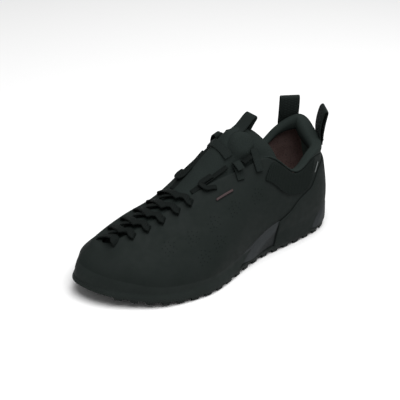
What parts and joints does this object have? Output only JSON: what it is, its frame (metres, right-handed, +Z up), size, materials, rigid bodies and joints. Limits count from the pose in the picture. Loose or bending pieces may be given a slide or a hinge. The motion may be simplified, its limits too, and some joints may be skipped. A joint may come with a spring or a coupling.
{
  "type": "approach shoe",
  "caption": "Low approach shoe for the left foot: moulded upper laced to the toe, foam midsole, lugged rubber sole with a toe rand, padded tongue, and pull loops at heel and tongue.",
  "frame": {"origin": "on the ground plane under the middle of the shoe's length and width", "axes": "+X from the heel to the toe, +Y to the outer side of the foot, which is the wearer's left, +Z up"},
  "size_m": [0.2859, 0.1118, 0.13],
  "materials": {
    "rubber": "matte moulded rubber",
    "foam": "matte foam",
    "microfibre": "dark green grey microfibre",
    "overlay": "matte film",
    "knit": "black knit",
    "padding": "padded grey knit",
    "lining": "red brown lining cloth",
    "webbing": "black webbing",
    "cord": "black braided lace",
    "red": "red woven trim",
    "pale": "pale reflective trim"
  },
  "bodies": {
    "root": {"outsole": "rubber", "rand": "rubber", "midsole": "foam", "upper": "microfibre", "heel_cap": "overlay", "knit_panel_inner": "knit", "knit_panel_outer": "knit", "collar_pad": "padding", "tongue": "padding", "insole": "lining", "heel_loop_inner": "webbing", "heel_loop_outer": "webbing", "tongue_band": "webbing", "tongue_loop": "webbing", "top_tab_inner": "webbing", "top_tab_outer": "webbing", "webbing_loop_inner": "webbing", "webbing_loop_outer": "webbing", "lace_bar": "cord", "lace_crossing_1": "cord", "lace_crossing_2": "cord", "lace_crossing_3": "cord", "lace_crossing_4": "cord", "lace_crossing_5": "cord", "lace_side_inner": "cord", "lace_side_outer": "cord", "lace_top_inner": "cord", "lace_top_outer": "cord", "red_tab": "red", "pale_strip": "pale"}
  },
  "joints": []
}
